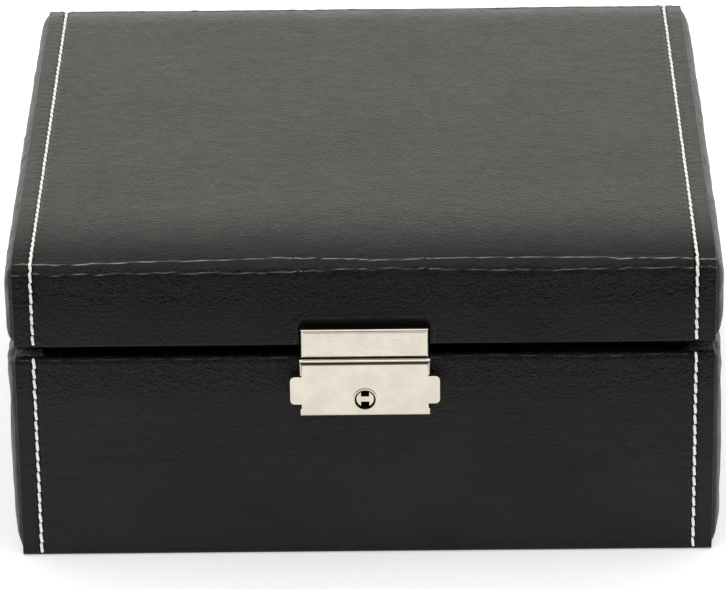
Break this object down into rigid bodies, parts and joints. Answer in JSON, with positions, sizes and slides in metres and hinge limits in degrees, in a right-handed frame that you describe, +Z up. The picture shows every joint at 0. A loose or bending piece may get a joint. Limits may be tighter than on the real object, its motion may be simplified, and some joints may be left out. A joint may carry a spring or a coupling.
{
  "type": "jewelry gift box",
  "caption": "Square leatherette-covered jewelry box with padded sides, stitched seams, a rear-hinged lid, a squeeze-tab key lock, velvet linings and a lift-out tray.",
  "frame": {"origin": "on the table, under the middle of the box", "axes": "+Z up, the lock faces -Y, +X to the right of someone facing the lock"},
  "size_m": [0.246, 0.2447, 0.1116],
  "materials": {
    "leatherette": "black leatherette, fine grain, low sheen",
    "side_leatherette": "padded black leatherette, fine grain",
    "thread": "white waxed thread",
    "board": "raw fibreboard",
    "velvet": "black velvet, short pile",
    "felt": "black felt",
    "foam": "cream foam",
    "nickel": "polished nickel, lightly scuffed",
    "steel": "plain steel",
    "mirror_glass": "silvered glass",
    "ribbon": "dark satin ribbon"
  },
  "bodies": {
    "base": {"base_floor_board": "board", "base_front_board": "board", "base_back_board": "board", "base_left_board": "board", "base_right_board": "board", "base_front_wrap": "leatherette", "base_back_wrap": "leatherette", "base_left_pad": "side_leatherette", "base_right_pad": "side_leatherette", "base_left_stitching": "thread", "base_right_stitching": "thread", "bottom_felt": "felt", "front_liner": "velvet", "back_liner": "velvet", "left_liner": "velvet", "right_liner": "velvet", "floor_pad": "velvet", "lower_long_divider": "velvet", "lower_cross_dividers": "velvet", "left_hinge_base_leaf": "nickel", "right_hinge_base_leaf": "nickel", "left_hinge_pin": "nickel", "right_hinge_pin": "nickel", "hinge_base_screws": "steel", "lock_case": "nickel", "lock_back_plate": "steel", "keyhole_bush": "nickel", "tab_spring": "steel", "lock_screws": "steel"},
    "lid": {"lid_top_board": "board", "lid_front_board": "board", "lid_back_board": "board", "lid_left_board": "board", "lid_right_board": "board", "lid_foam": "foam", "lid_wrap": "leatherette", "lid_left_pad": "side_leatherette", "lid_right_pad": "side_leatherette", "lid_left_stitching": "thread", "lid_right_stitching": "thread", "lid_liner": "velvet", "lid_lining_pad": "velvet", "mirror_frame": "velvet", "mirror": "mirror_glass", "left_hinge_lid_leaf": "nickel", "right_hinge_lid_leaf": "nickel", "hinge_lid_screws": "steel", "strike_plate": "nickel", "strike_screws": "steel"},
    "tray": {"tray_frame": "velvet", "tray_floor": "velvet", "tray_long_divider": "velvet", "tray_cross_dividers": "velvet", "tray_pads": "velvet", "ring_rolls": "velvet", "tray_pull_tabs": "ribbon"},
    "left_tab": {"left_push_tab": "nickel"},
    "right_tab": {"right_push_tab": "nickel"},
    "barrel": {"key_barrel": "nickel", "locking_cam": "steel"}
  },
  "joints": [
    {"name": "lid_hinge", "type": "hinge", "parent": "base", "child": "lid", "pos_m": [0, 0.1197, 0.0781], "axis": [-1, 0, 0], "range_deg": [0, 100]},
    {"name": "left_tab_slide", "type": "slide", "parent": "base", "child": "left_tab", "axis": [1, 0, 0], "range_m": [0, 0.0025], "stiffness_N_per_m": 400, "springref_m": -0.003, "deforming": ["tab_spring"]},
    {"name": "right_tab_slide", "type": "slide", "parent": "base", "child": "right_tab", "axis": [-1, 0, 0], "range_m": [0, 0.0025], "stiffness_N_per_m": 400, "springref_m": -0.003},
    {"name": "key_turn", "type": "hinge", "parent": "base", "child": "barrel", "pos_m": [0, -0.1225, 0.062], "axis": [0, -1, 0], "range_deg": [-90, 0]},
    {"name": "tray_lift", "type": "slide", "parent": "base", "child": "tray", "axis": [0, 0, 1], "range_m": [0, 0.018]}
  ]
}
